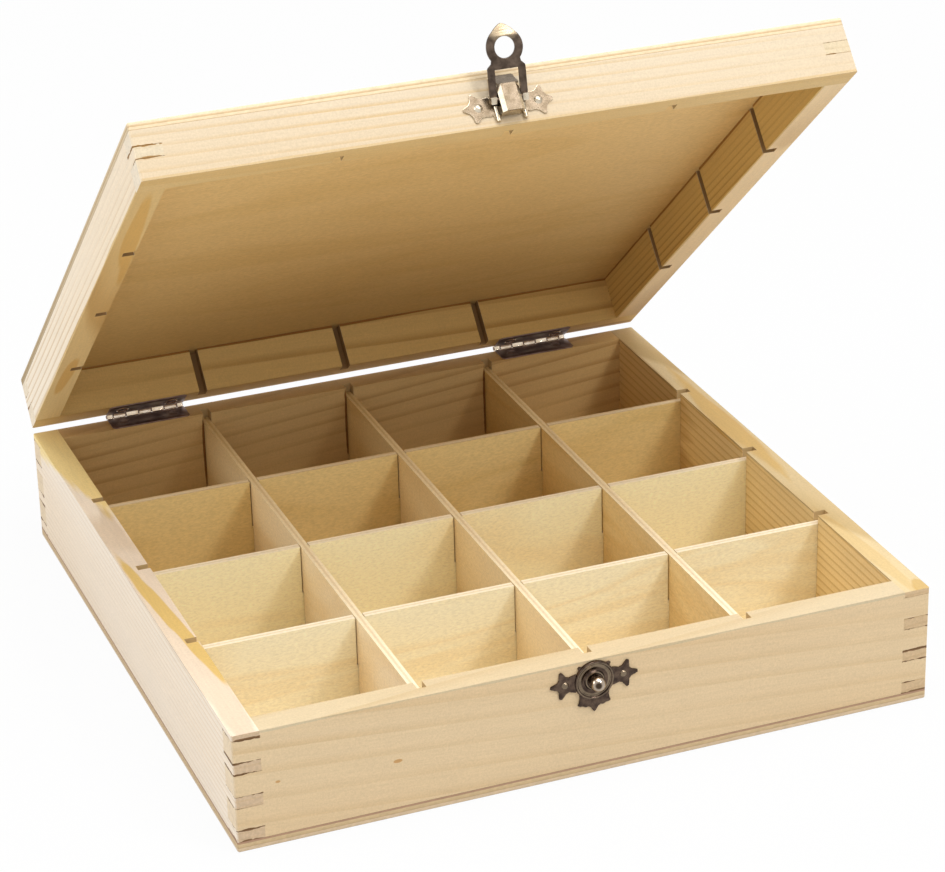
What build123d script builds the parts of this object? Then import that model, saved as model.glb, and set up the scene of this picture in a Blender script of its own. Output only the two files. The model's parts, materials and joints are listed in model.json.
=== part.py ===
"""Wooden stamp box: sixteen compartments, a hinged lid and a snap latch, in millimetres.

X runs along the front, Y from the front to the back and Z up. The origin is the middle
of the underside. The lid stands part open and the hasp is flipped up, clear of its knob.
"""

from math import acos, asin, cos, pi, sin
import os

from build123d import *

os.makedirs("parts", exist_ok=True)

# Box, glued up as one frame and then sawn into base and lid
box_width = 265
box_depth = 265
wall_thickness = 10
base_frame_height = 41.8
lid_frame_height = 18.3
base_panel_thickness = 4
lid_panel_thickness = 3
saw_kerf = 3
corner_ease = 0.4

# Finger joints: thin fingers on the side walls, wide ones on the front and the back
side_finger = 4.4
front_finger = 8.8
finger_gap = 0.15

# Dividers: plywood strips in grooves that were cut before the frame was sawn apart
dividers_each_way = 3
divider_thickness = 3
divider_drop = 3.7
divider_end_gap = 0.3
groove_depth = 4.5
groove_clearance = 0.4
notch_clearance = 0.8

# Hinges, with their nails
hinge_length = 32.5
hinge_inset = 31
leaf_depth = 9.4
leaf_thickness = 0.5
leaf_gap = 0.2
leaf_corner = 1.2
knuckle_radius = 1.4
knuckle_clearance = 0.2
end_knuckle = 2.75
inner_knuckles = 5
knuckle_gap = 0.2
pin_radius = 0.75
pin_clearance = 0.06
hinge_nail_inset = 6
hinge_nail_length = 9
hinge_nail_head = 2
nail_radius = 0.65
nail_point = 1.2
lid_angle = 41

# Stars and domed nails that the latch and the catch share
sheet = 0.6
star_points = 5
star_radius = 5.7
star_notch_share = 0.46
star_spacing = 22.2
dome_nail_length = 8
dome_nail_head = 1.6
dome_nail_rise = 0.8

# Latch plate, with heights above the rim of the lid
wing_bottom = 3.4
wing_height = 8
wing_half = 6.5
foot_bottom = 1.6
foot_half = 5.2
lip_inner = 4.3
lip_height = 1.2
lip_gap = 0.3
tongue_half = 4.1
tongue_edge = 0.3
tongue_arch = 0.8
tongue_slope = 1.2
tongue_bottom = 3.2
tongue_top = 13.4
tongue_root = 17
tongue_gap = 0.4

# Hasp, with lengths from its pivot
hasp_angle = 30
hasp_thickness = 1
pivot_height = 8.6
pivot_radius = 1.3
pivot_gap = 0.8
leg_outer = 7
leg_inner = 4.5
window_end = 10.3
shoulder = 11.1
neck = 12.3
neck_half = 5.3
ring_radius = 6.7
ring_hole = 3.75
tip_reach = 8.1

# Catch, with a stepped dome and a ball knob
catch_below_rim = 7.9
arm_half = 2.8
shield_half = 6.2
shield_rise = 6.1
shield_drop = 9.3
shield_notch = 10.1
shield_point = 12.8
point_half = 2.1
dome_radius = 7.7
dome_step = 0.8
dome_rise = 0.6
dish_radius = 4.6
dish_depth = 0.3
boss_radius = 3.4
boss_rise = 0.5
ball_radius = 2.8
ball_reach = 3.8
stem_radius = 1.3

# Worked out from the sizes above
half_width = box_width / 2
half_depth = box_depth / 2
base_height = base_panel_thickness + base_frame_height
rim_gap = 2 * leaf_thickness + leaf_gap
hinge_out = knuckle_radius + knuckle_clearance
hinge_middle = half_width - hinge_inset - hinge_length / 2
hinge_nail_y = half_depth - leaf_depth / 2
groove_width = divider_thickness + groove_clearance
divider_height = base_frame_height - divider_drop
lid_frame_start = base_frame_height + saw_kerf
catch_height = base_frame_height - catch_below_rim
wing_middle = wing_bottom + wing_height / 2
lip_top = pivot_height - pivot_radius - lip_gap
pivot_out = sheet + pivot_gap + pivot_radius
tongue_under = pivot_out + pivot_radius + tongue_gap
ring_middle = pivot_height + rim_gap + catch_below_rim
star_xs = (-star_spacing / 2, star_spacing / 2)


# Frames of the base, of the tilted lid at the middle of its rim, and of the hasp at its pivot
def front_of(place):
    """The outer face of a frame's front wall: X along it, Y up it, Z outward."""
    middle = place.from_local_coords((0, -half_depth, 0))
    return Plane(middle, x_dir=place.x_dir, z_dir=-place.y_dir)


def across(place):
    """The plane square to X through a frame's origin: its X to the back, its Y up."""
    return Plane(place.origin, x_dir=place.y_dir, z_dir=place.x_dir)


def upside_down(place):
    """The same frame, facing the other way."""
    return Plane(place.origin, x_dir=place.x_dir, z_dir=-place.z_dir)


base_place = Plane.XY.offset(base_panel_thickness)
hinge_line = (half_depth + hinge_out, base_height + rim_gap / 2)
to_hinge = Location((0, *hinge_line))
from_hinge = Location((0, -hinge_line[0], -hinge_line[1]))
opening_turn = to_hinge * Location((0, 0, 0), (-lid_angle, 0, 0)) * from_hinge
lid_location = opening_turn * Location((0, 0, base_height + rim_gap))
lid_place = Plane(lid_location)
pivot_location = lid_location * Location((0, -half_depth - pivot_out, pivot_height))
hasp_place = Plane(pivot_location * Location((0, 0, 0), (90 + hasp_angle, 0, 0)))
base_front = front_of(base_place)
lid_front = front_of(lid_place)
catch_place = Plane(base_front.location * Location((0, catch_height, 0)))


def divider_places(outside):
    """Middles of the dividers across one way of the box, from the box's middle."""
    inside = outside - 2 * wall_thickness
    pitch = (inside + divider_thickness) / (dividers_each_way + 1)
    return [(i - (dividers_each_way - 1) / 2) * pitch for i in range(dividers_each_way)]


def save(piece, name):
    """Name a finished piece and write its file."""
    piece.part.label = name
    export_step(piece.part, f"parts/{name}.step")


# Nails: sunk ones in the hinges, domed ones in the latch and the catch
def nail_of(sheet_thickness, length, head, rise):
    """A nail along Z, the outer face of its sheet at zero; without a rise its head is sunk."""
    tip = -sheet_thickness - length
    under_head = 0 if rise else -sheet_thickness
    with BuildPart() as nail:
        with BuildSketch(Plane.XZ):
            with BuildLine():
                if rise:
                    cap = (head**2 + rise**2) / (2 * rise)
                    turn = asin(head / cap) / 2
                    middle = (cap * sin(turn), rise - cap + cap * cos(turn))
                    ThreePointArc((0, rise), middle, (head, 0))
                else:
                    Line((0, 0), (head, 0))
                Polyline(
                    (head, 0),
                    (nail_radius, under_head),
                    (nail_radius, tip + nail_point),
                    (0, tip),
                    (0, rise),
                )
            make_face()
        revolve(axis=Axis.Z)
    return nail


def nail_group(nail, plane, places):
    """The same nail at several places of a plane, its head outward."""
    with BuildPart() as group:
        with Locations(*[plane.location * Location((x, y, 0)) for x, y in places]):
            add(nail.part)
    return group


flush_nail = nail_of(leaf_thickness, hinge_nail_length, hinge_nail_head, 0)
domed_nail = nail_of(sheet, dome_nail_length, dome_nail_head, dome_nail_rise)
hinge_nail_xs = [
    side * hinge_middle + end * (hinge_length / 2 - hinge_nail_inset)
    for side in (-1, 1)
    for end in (-1, 1)
]
base_leaf_top = base_place.offset(base_frame_height + leaf_thickness)
lid_leaf_top = upside_down(lid_place.offset(-leaf_thickness))
base_hinge_nails = nail_group(flush_nail, base_leaf_top, [(x, hinge_nail_y) for x in hinge_nail_xs])
lid_hinge_nails = nail_group(flush_nail, lid_leaf_top, [(x, -hinge_nail_y) for x in hinge_nail_xs])
latch_nails = nail_group(domed_nail, lid_front.offset(sheet), [(x, wing_middle) for x in star_xs])
catch_nails = nail_group(domed_nail, catch_place.offset(sheet), [(x, 0) for x in star_xs])
save(base_hinge_nails, "base_hinge_nails")
save(lid_hinge_nails, "lid_hinge_nails")
save(latch_nails, "latch_nails")
save(catch_nails, "catch_nails")


# Walls, joined by fingers at the corners
def side_fingers(low, high):
    """Bottom and top of each side-wall finger between two levels of the unsawn frame."""
    spans = []
    start = 0
    while start < high:
        bottom = max(start, low)
        top = min(start + side_finger, high)
        if top - bottom > 2 * finger_gap:
            spans.append((bottom - low, top - low))
        start += side_finger + front_finger
    return spans


def between(spans, height):
    """The stretches of a height that the spans leave over."""
    levels = [0, *(level for span in spans for level in span), height]
    pairs = zip(levels[::2], levels[1::2])
    return [(low, high) for low, high in pairs if high - low > 2 * finger_gap]


def end_wall(place, side, height, spans, nails):
    """Front or back wall, with sockets for the thin fingers of the side walls."""
    middle = side * (half_depth - wall_thickness / 2)
    groove_y = side * (half_depth - wall_thickness + groove_depth / 2)
    ends = [(end * (half_width - wall_thickness / 2), middle) for end in (-1, 1)]
    with BuildPart() as wall:
        with BuildSketch(place):
            with Locations((0, middle)):
                Rectangle(box_width, wall_thickness)
            chamfer(vertices().sort_by(Axis.Y, reverse=side > 0)[:2], corner_ease)
            with Locations(*[(x, groove_y) for x in divider_places(box_width)]):
                Rectangle(groove_width, groove_depth, mode=Mode.SUBTRACT)
        extrude(amount=height)
        for bottom, top in spans:
            low = max(bottom - finger_gap, 0)
            high = min(top + finger_gap, height)
            with BuildSketch(place.offset(low)):
                with Locations(*ends):
                    Rectangle(wall_thickness, wall_thickness)
            extrude(amount=high - low, mode=Mode.SUBTRACT)
        add(nails.part, mode=Mode.SUBTRACT)
    return wall


def side_wall(place, side, height, spans):
    """Left or right wall, with sockets for the wide fingers of the front and the back."""
    middle = side * (half_width - wall_thickness / 2)
    groove_x = side * (half_width - wall_thickness + groove_depth / 2)
    ends = [(middle, end * (half_depth - wall_thickness / 2)) for end in (-1, 1)]
    with BuildPart() as wall:
        with BuildSketch(place):
            with Locations((middle, 0)):
                Rectangle(wall_thickness, box_depth)
            chamfer(vertices().sort_by(Axis.X, reverse=side > 0)[:2], corner_ease)
            with Locations(*[(groove_x, y) for y in divider_places(box_depth)]):
                Rectangle(groove_depth, groove_width, mode=Mode.SUBTRACT)
        extrude(amount=height)
        for low, high in between(spans, height):
            with BuildSketch(place.offset(low)):
                with Locations(*ends):
                    Rectangle(wall_thickness, wall_thickness)
            extrude(amount=high - low, mode=Mode.SUBTRACT)
    return wall


base_spans = side_fingers(0, base_frame_height)
lid_spans = side_fingers(lid_frame_start, lid_frame_start + lid_frame_height)
save(end_wall(base_place, -1, base_frame_height, base_spans, catch_nails), "base_front_wall")
save(end_wall(base_place, 1, base_frame_height, base_spans, base_hinge_nails), "base_back_wall")
save(end_wall(lid_place, -1, lid_frame_height, lid_spans, latch_nails), "lid_front_wall")
save(end_wall(lid_place, 1, lid_frame_height, lid_spans, lid_hinge_nails), "lid_back_wall")
for name, side in (("left", -1), ("right", 1)):
    save(side_wall(base_place, side, base_frame_height, base_spans), f"base_{name}_wall")
    save(side_wall(lid_place, side, lid_frame_height, lid_spans), f"lid_{name}_wall")


# Plywood panels, glued on under the base and over the lid
def panel(place, thickness):
    """A plain board of the size of the box, its outer edges eased."""
    with BuildPart() as board:
        with BuildSketch(place):
            Rectangle(box_width, box_depth)
            chamfer(vertices(), corner_ease)
        extrude(amount=thickness)
        outer_face = faces().sort_by(Axis(place.origin, place.z_dir))[-1]
        chamfer(outer_face.edges(), corner_ease)
    return board


save(panel(upside_down(base_place), base_panel_thickness), "base_panel")
save(panel(lid_place.offset(lid_frame_height), lid_panel_thickness), "lid_panel")


# Dividers, notched half and half where they cross
def divider(plane, outside, crossings, notched_from_top):
    """One plywood strip that stands on the base panel, its ends in the grooves of two walls."""
    length = outside - 2 * (wall_thickness - groove_depth + divider_end_gap)
    notch_width = divider_thickness + notch_clearance
    notch_height = (divider_height + notch_clearance) / 2
    level = divider_height - notch_height / 2 if notched_from_top else notch_height / 2
    with BuildPart() as strip:
        with BuildSketch(plane):
            with Locations((0, base_panel_thickness + divider_height / 2)):
                Rectangle(length, divider_height)
            with Locations(*[(place, base_panel_thickness + level) for place in crossings]):
                Rectangle(notch_width, notch_height, mode=Mode.SUBTRACT)
        extrude(amount=divider_thickness / 2, both=True)
    return strip


for number, x in enumerate(divider_places(box_width), start=1):
    strip = divider(Plane.YZ.offset(x), box_depth, divider_places(box_depth), False)
    save(strip, f"long_divider_{number}")
for number, y in enumerate(divider_places(box_depth), start=1):
    strip = divider(Plane.XZ.offset(-y), box_width, divider_places(box_width), True)
    save(strip, f"cross_divider_{number}")


# Hinges: two leaves rolled round a pin, four knuckles on the base and three on the lid
def knuckle_spans():
    """Start and end of every knuckle along a hinge, from its middle."""
    inner = hinge_length / 2 - end_knuckle
    pitch = 2 * inner / inner_knuckles
    ends = [i * pitch - inner for i in range(inner_knuckles + 1)]
    ends = [-hinge_length / 2, *ends, hinge_length / 2]
    return list(zip(ends, ends[1:]))


def hinge_leaf(place, side, other_spans, bore, nails):
    """One leaf, from the frame at the middle of its pin; side is 1 over the pin and -1 under it."""
    reach = hinge_out + leaf_depth
    with BuildPart() as leaf:
        with BuildSketch(across(place)):
            Circle(knuckle_radius)
            with Locations((-reach / 2, side * (rim_gap - leaf_thickness) / 2)):
                Rectangle(reach, leaf_thickness)
            Circle(bore, mode=Mode.SUBTRACT)
        extrude(amount=hinge_length / 2, both=True)
        with BuildSketch(place):
            for start, end in other_spans:
                with Locations(((start + end) / 2, 0)):
                    Rectangle(end - start + knuckle_gap, 2 * hinge_out)
            for end in (-1, 1):
                with BuildLine():
                    Polyline(
                        (end * hinge_length / 2, -reach),
                        (end * (hinge_length / 2 - leaf_corner), -reach),
                        (end * hinge_length / 2, leaf_corner - reach),
                        close=True,
                    )
                make_face()
        extrude(amount=knuckle_radius, both=True, mode=Mode.SUBTRACT)
        add(nails.part, mode=Mode.SUBTRACT)
    return leaf


def hinge_pin(place):
    """The pin of one hinge, flush with its end knuckles."""
    with BuildPart() as pin:
        with BuildSketch(across(place)):
            Circle(pin_radius)
        extrude(amount=hinge_length / 2, both=True)
    return pin


for name, side in (("left", -1), ("right", 1)):
    pin_middle = Location((side * hinge_middle, *hinge_line))
    base_knuckles = knuckle_spans()[::2]
    lid_knuckles = knuckle_spans()[1::2]
    base_leaf = hinge_leaf(Plane(pin_middle), -1, lid_knuckles, pin_radius, base_hinge_nails)
    lid_bore = pin_radius + pin_clearance
    lid_leaf = hinge_leaf(Plane(opening_turn * pin_middle), 1, base_knuckles, lid_bore, lid_hinge_nails)
    save(base_leaf, f"{name}_hinge_base_leaf")
    save(lid_leaf, f"{name}_hinge_lid_leaf")
    save(hinge_pin(Plane(pin_middle)), f"{name}_hinge_pin")


# Latch plate: star wings, two lips beside an opening and a spring tongue over the hasp's bar
def star(x, y, pointing):
    """Corners of a star with one point in the given direction, in radians."""
    corners = []
    for i in range(2 * star_points):
        reach = star_radius * (star_notch_share if i % 2 else 1)
        turn = pointing + i * pi / star_points
        corners.append((x + reach * cos(turn), y + reach * sin(turn)))
    return corners


def facing_up(place):
    """A section across a front plane: its X along the box, its Y outward."""
    return Plane(place.origin, x_dir=place.x_dir, z_dir=-place.y_dir)


notch_turn = pi - 3 * pi / star_points
inner_notch = star_radius * star_notch_share
star_notch_x = star_spacing / 2 + inner_notch * cos(notch_turn + pi / star_points)
star_notch_rise = inner_notch * sin(notch_turn + pi / star_points)
wing_outline = [
    (0, foot_bottom),
    (foot_half, foot_bottom),
    (wing_half, wing_bottom),
    (star_notch_x, wing_middle - star_notch_rise),
    (star_notch_x, wing_middle + star_notch_rise),
    (wing_half, wing_bottom + wing_height),
    (lip_inner + sheet, wing_bottom + wing_height),
    (lip_inner + sheet, tongue_root),
    (0, tongue_root),
]
lip_root = (lip_inner + sheet + lip_height, sheet)
lip_arc_middle = (
    lip_root[0] - lip_height * sin(pi / 4),
    lip_root[1] + lip_height - lip_height * cos(pi / 4),
)
with BuildPart() as latch_plate:
    with BuildSketch(lid_front):
        with BuildLine():
            Polyline(*wing_outline)
            mirror(about=Plane.YZ)
        make_face()
        for x, pointing in zip(star_xs, (pi, 0)):
            with BuildLine():
                Polyline(*star(x, wing_middle, pointing), close=True)
            make_face()
        with Locations((0, (foot_bottom + lip_top) / 2)):
            Rectangle(2 * lip_inner, lip_top - foot_bottom, mode=Mode.SUBTRACT)
    extrude(amount=sheet)
    with BuildSketch(facing_up(lid_front).offset(-foot_bottom)):
        with BuildLine():
            Polyline(
                lip_root,
                (lip_inner, sheet),
                (lip_inner, sheet + lip_height),
                (lip_inner + sheet, sheet + lip_height),
            )
            ThreePointArc((lip_inner + sheet, sheet + lip_height), lip_arc_middle, lip_root)
        make_face()
        mirror(about=Plane.YZ)
    extrude(amount=foot_bottom - lip_top)
    with BuildSketch(facing_up(lid_front).offset(-tongue_bottom)):
        with BuildLine():
            Polyline(
                (0, tongue_under),
                (tongue_half, tongue_under),
                (tongue_half, tongue_under + tongue_edge),
                (tongue_half - tongue_slope, tongue_under + tongue_edge + tongue_arch),
                (0, tongue_under + tongue_edge + tongue_arch),
            )
            mirror(about=Plane.YZ)
        make_face()
    extrude(amount=tongue_bottom - tongue_top)
    with BuildSketch(across(lid_front)):
        with BuildLine():
            Polyline(
                (tongue_top, tongue_under),
                (tongue_top, tongue_under + tongue_edge),
                (tongue_root, sheet),
                (tongue_root - sheet, sheet),
                close=True,
            )
        make_face()
    extrude(amount=tongue_half, both=True)
    add(latch_nails.part, mode=Mode.SUBTRACT)
save(latch_plate, "latch_plate")

# Hasp: a cross-bar with two legs, a ring that drops over the knob and a blunt tip to lift it by
tangent_turn = acos(ring_radius / tip_reach)
tangent_x = ring_radius * sin(tangent_turn)
tangent_y = ring_middle + ring_radius * cos(tangent_turn)
with BuildPart() as hasp:
    with BuildSketch(hasp_place):
        with BuildLine():
            Polyline(
                (-leg_outer, 0),
                (leg_outer, 0),
                (leg_outer, shoulder),
                (neck_half, neck),
                (neck_half, ring_middle),
                (-neck_half, ring_middle),
                (-neck_half, neck),
                (-leg_outer, shoulder),
                close=True,
            )
        make_face()
        with Locations((0, ring_middle)):
            Circle(ring_radius)
        with BuildLine():
            Polyline(
                (-tangent_x, tangent_y),
                (tangent_x, tangent_y),
                (0, ring_middle + tip_reach),
                close=True,
            )
        make_face()
        with Locations((0, ring_middle)):
            Circle(ring_hole, mode=Mode.SUBTRACT)
        with Locations((0, window_end / 2)):
            Rectangle(2 * leg_inner, window_end, mode=Mode.SUBTRACT)
    extrude(amount=hasp_thickness / 2, both=True)
    with BuildSketch(across(hasp_place)):
        Circle(pivot_radius)
    extrude(amount=leg_outer, both=True)
save(hasp, "hasp")

# Catch: plate with a stepped dome, and the ball knob on its stem
with BuildPart() as catch_plate:
    with BuildSketch(catch_place):
        for x, pointing in zip(star_xs, (pi, 0)):
            with BuildLine():
                Polyline(*star(x, 0, pointing), close=True)
            make_face()
        Rectangle(star_spacing, 2 * arm_half)
        with BuildLine():
            Polyline(
                (0, shield_rise),
                (shield_half, shield_rise),
                (shield_half, -shield_drop),
                (point_half, -shield_notch),
                (0, -shield_point),
            )
            mirror(about=Plane.YZ)
        make_face()
        Circle(dome_radius)
    extrude(amount=sheet)
    with BuildSketch(facing_up(catch_place)):
        with BuildLine():
            Polyline(
                (0, 0),
                (dome_radius, 0),
                (dome_radius, sheet),
                (dome_radius - dome_step, sheet + dome_rise),
                (dish_radius + dome_step, sheet + dome_rise),
                (dish_radius, sheet + dome_rise - dish_depth),
                (boss_radius, sheet + dome_rise - dish_depth),
                (stem_radius, sheet + boss_rise),
                (0, sheet + boss_rise),
                close=True,
            )
        make_face()
    revolve(axis=Axis(catch_place.origin, catch_place.z_dir))
    with BuildSketch(catch_place):
        Circle(stem_radius)
    extrude(amount=ball_reach, mode=Mode.SUBTRACT)
    add(catch_nails.part, mode=Mode.SUBTRACT)
save(catch_plate, "catch_plate")

with BuildPart() as catch_knob:
    with BuildSketch(catch_place):
        Circle(stem_radius)
    extrude(amount=ball_reach)
    with Locations(catch_place.location * Location((0, 0, ball_reach))):
        Sphere(ball_radius)
save(catch_knob, "catch_knob")
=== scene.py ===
# %% [markdown]
# # A wooden stamp box
# The box is glued up from pine boards with finger joints, closed with two plywood panels and
# sawn apart into a base and a lid. The frame already holds every board at its real size, so
# this lesson is about how wood, plywood and small pressed metal fittings look.

# %% Load the frame
import json
import math

import bmesh
import bpy
from mathutils import Matrix, Vector


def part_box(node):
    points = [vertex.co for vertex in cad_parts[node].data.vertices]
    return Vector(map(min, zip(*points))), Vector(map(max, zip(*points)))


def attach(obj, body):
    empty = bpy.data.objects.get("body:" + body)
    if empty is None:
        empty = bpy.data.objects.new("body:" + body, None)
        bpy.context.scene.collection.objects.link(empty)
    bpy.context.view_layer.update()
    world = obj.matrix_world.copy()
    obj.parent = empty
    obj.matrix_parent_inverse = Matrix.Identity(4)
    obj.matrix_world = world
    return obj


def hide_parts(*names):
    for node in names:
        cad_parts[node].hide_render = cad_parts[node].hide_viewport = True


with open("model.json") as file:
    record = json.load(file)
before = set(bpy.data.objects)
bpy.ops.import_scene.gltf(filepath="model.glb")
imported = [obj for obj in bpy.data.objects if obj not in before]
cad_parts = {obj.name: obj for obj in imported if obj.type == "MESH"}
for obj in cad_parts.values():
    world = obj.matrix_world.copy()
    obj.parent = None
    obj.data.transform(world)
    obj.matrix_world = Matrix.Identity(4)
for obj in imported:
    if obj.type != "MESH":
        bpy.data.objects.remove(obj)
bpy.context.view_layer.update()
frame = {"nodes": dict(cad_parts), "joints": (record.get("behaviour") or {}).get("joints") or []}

# %% [markdown]
# ## Frames
# Everything on the lid is easier to build with the lid lying flat, and is then turned with it.
# The record says where the hinge is and how far the lid stands open, so nothing is guessed.
# A fitting is drawn on its own flat frame: X along the box, Y up the face and Z outwards.

# %% The lid's, the fittings' and the hasp's own frames
MM = 0.001
joints = {joint["name"]: joint for joint in frame["joints"]}
hinge_at = Vector(joints["lid_hinge"]["pos_m"])
pivot_at = Vector(joints["hasp_pivot"]["pos_m"])
lid_open = -math.radians(joints["lid_hinge"]["range_deg"][0])
hasp_out = -math.radians(joints["hasp_pivot"]["range_deg"][0])
half_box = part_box("base_panel")[1].x
panel_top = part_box("base_panel")[1].z
rim_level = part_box("base_front_wall")[1].z
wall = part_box("base_front_wall")[1].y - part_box("base_front_wall")[0].y
rim_gap = 2 * (hinge_at.z - rim_level)
catch_level = (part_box("catch_knob")[0].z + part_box("catch_knob")[1].z) / 2


def turn(angle):
    """A turn about X."""
    return Matrix.Rotation(angle, 4, "X")


lid_turn = Matrix.Translation(hinge_at) @ turn(-lid_open) @ Matrix.Translation(-hinge_at)
lid_frame = lid_turn @ Matrix.Translation((0, 0, rim_level + rim_gap))
face_up = turn(math.pi / 2)
latch_frame = lid_frame @ Matrix.Translation((0, -half_box, 0)) @ face_up
catch_frame = Matrix.Translation((0, -half_box, catch_level)) @ face_up
hasp_frame = Matrix.Translation(pivot_at) @ turn(math.pi / 2 - lid_open + hasp_out)
print("lid open by", round(math.degrees(lid_open), 1), "degrees")
print("gap between the rims", round(rim_gap / MM, 2), "mm")


# %% [markdown]
# ## Nodes and colours
# A finish is a small network of nodes. One helper adds a node with its settings and links, and
# another turns a colour as it is picked on a screen into the linear values that light works in.
# A third starts an empty material with its shader.

# %% Helpers for finishes
def add(tree, kind, inputs=None, stops=(), **settings):
    """A shader node. An input is a value, a node or a node's output; stops are a ramp's colours."""
    made = tree.nodes.new("ShaderNode" + kind)
    for key, value in settings.items():
        setattr(made, key, value)
    for number, (position, colour) in enumerate(stops):
        if number > 1:
            made.color_ramp.elements.new(position)
        made.color_ramp.elements[number].position = position
        made.color_ramp.elements[number].color = linear(colour)
    for key, value in (inputs or {}).items():
        named = [socket for socket in made.inputs if socket.name == key and socket.enabled]
        socket = made.inputs[key] if isinstance(key, int) else named[0]
        if isinstance(value, bpy.types.Node):
            value = next(output for output in value.outputs if output.enabled)
        if isinstance(value, bpy.types.NodeSocket):
            tree.links.new(value, socket)
        else:
            socket.default_value = value
    return made


def linear(code):
    """An sRGB hex colour as linear red, green, blue and alpha."""
    values = [int(code[i:i + 2], 16) / 255 for i in (1, 3, 5)]
    return [v / 12.92 if v <= 0.04045 else ((v + 0.055) / 1.055) ** 2.4 for v in values] + [1]


def new_material(name):
    """A material with a shader on its output, as (material, tree, shader)."""
    material = bpy.data.materials.new(name)
    material.use_nodes = True
    tree = material.node_tree
    tree.nodes.clear()
    shader = add(tree, "BsdfPrincipled")
    add(tree, "OutputMaterial", {"Surface": shader})
    return material, tree, shader


MIXED = {"data_type": "RGBA"}
TINTED = {"data_type": "RGBA", "blend_type": "MULTIPLY"}

# %% [markdown]
# ## Where a point of a board is
# The patterns are solid, so they need the place of a point in its board. Object coordinates
# give it, and on the lid they are turned back so that the lid lies flat. The same turn of the
# surface's direction tells a face of the board from its end.


# %% Board coordinates
def board_coordinates(tree, on_lid):
    """Place and direction of a surface point in the box, with the lid lying flat."""
    coordinates = add(tree, "TexCoord")
    place, facing = coordinates.outputs["Object"], coordinates.outputs["Normal"]
    if on_lid:
        flat = {"Vector": place, "Location": lid_frame.to_translation(),
                "Rotation": (-lid_open, 0, 0)}
        place = add(tree, "Mapping", flat, vector_type="TEXTURE")
        back = {"Vector": facing, "Rotation": (lid_open, 0, 0)}
        facing = add(tree, "Mapping", back, vector_type="VECTOR")
    return place, facing


def facing_share(tree, facing, axis):
    """1 where a surface faces within about 32 degrees of an axis, and 0 beyond 53 degrees."""
    direction = [float(letter == axis) for letter in "XYZ"]
    along = add(tree, "VectorMath", {0: facing, 1: direction}, operation="DOT_PRODUCT")
    size = add(tree, "Math", {0: along}, operation="ABSOLUTE")
    return add(tree, "MapRange", {0: size, 1: 0.6, 2: 0.85})


# %% [markdown]
# ## Pine
# A pine board is cut from a log with one ring for each year: a wide pale band of earlywood that
# ends in a thin darker line of latewood. A plank shows these rings as long lines, and as arches
# where the cut runs at a small angle to the log. So the finish is a real log of rings round a
# pith line, placed and leaned for each board, and the board's faces simply cut through it.
# Sanded bare pine is matt, with a silky fibre that runs along the board.


# %% Rings of the log
def log_place(tree, place, grain, pith_mm, lean_deg):
    """The point in the log's own frame, whose Z is the pith."""
    along = {"X": (0, math.pi / 2, 0), "Y": (-math.pi / 2, 0, 0)}[grain]
    lean = [a + math.radians(b) for a, b in zip(along, lean_deg)]
    inputs = {"Vector": place, "Location": [v * MM for v in pith_mm], "Rotation": lean}
    return add(tree, "Mapping", inputs, vector_type="TEXTURE")


# How far the ring lines wander, in widths of a ring.
WAVER = 2.2


def rings_of(tree, log, ring_mm):
    """0 to 1 through each year's ring, its lines wavering a little along the log."""
    slow = add(tree, "Mapping", {"Vector": log, "Scale": (1, 1, 0.14)})
    noise = add(tree, "TexNoise", {"Vector": slow, "Scale": 14, "Detail": 3, "Roughness": 0.45})
    centre = {0: noise.outputs["Color"], 1: (0.5, 0.5, 0.5)}
    centred = add(tree, "VectorMath", centre, operation="SUBTRACT")
    shift = add(tree, "VectorMath", {0: centred, "Scale": WAVER * ring_mm * MM}, operation="SCALE")
    bent = add(tree, "VectorMath", {0: log, 1: shift}, operation="ADD")
    # A ring texture of scale s has a ring every pi / 10 s.
    rings = add(tree, "TexWave", {"Vector": bent, "Scale": math.pi / 10 / (ring_mm * MM)},
                wave_type="RINGS", rings_direction="Z", wave_profile="SAW")
    return rings.outputs["Fac"], slow


# %% [markdown]
# ## Saw cuts and open joints
# The corner fingers and the grooves for the dividers are cut by machine, and the wood there is
# left rough and written dark, partly as painted shade. A real joint is never quite tight: a
# painted line of shadow and old glue follows some edges of the fingers and is missing at others.
# Both are drawn from the joint's own pitch.

# %% Fingers and grooves
# All in millimetres.
FINGER_PITCH = 13.2
FINGER = 4.4
OPEN_LINE = 0.6
DIVIDER_PITCH = 62
GROOVE_HALF = 1.78
GROOVE_DEPTH = 4.7


def near_lines(tree, value, pitch_mm, first_mm=0):
    """How far a coordinate is from the nearest of many evenly spaced lines."""
    off = add(tree, "Math", {0: value, 1: first_mm * MM}, operation="SUBTRACT")
    wrapped = {0: off, 1: pitch_mm * MM / 2, 2: -pitch_mm * MM / 2}
    off = add(tree, "Math", wrapped, operation="WRAP")
    return add(tree, "Math", {0: off}, operation="ABSOLUTE")


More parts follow.
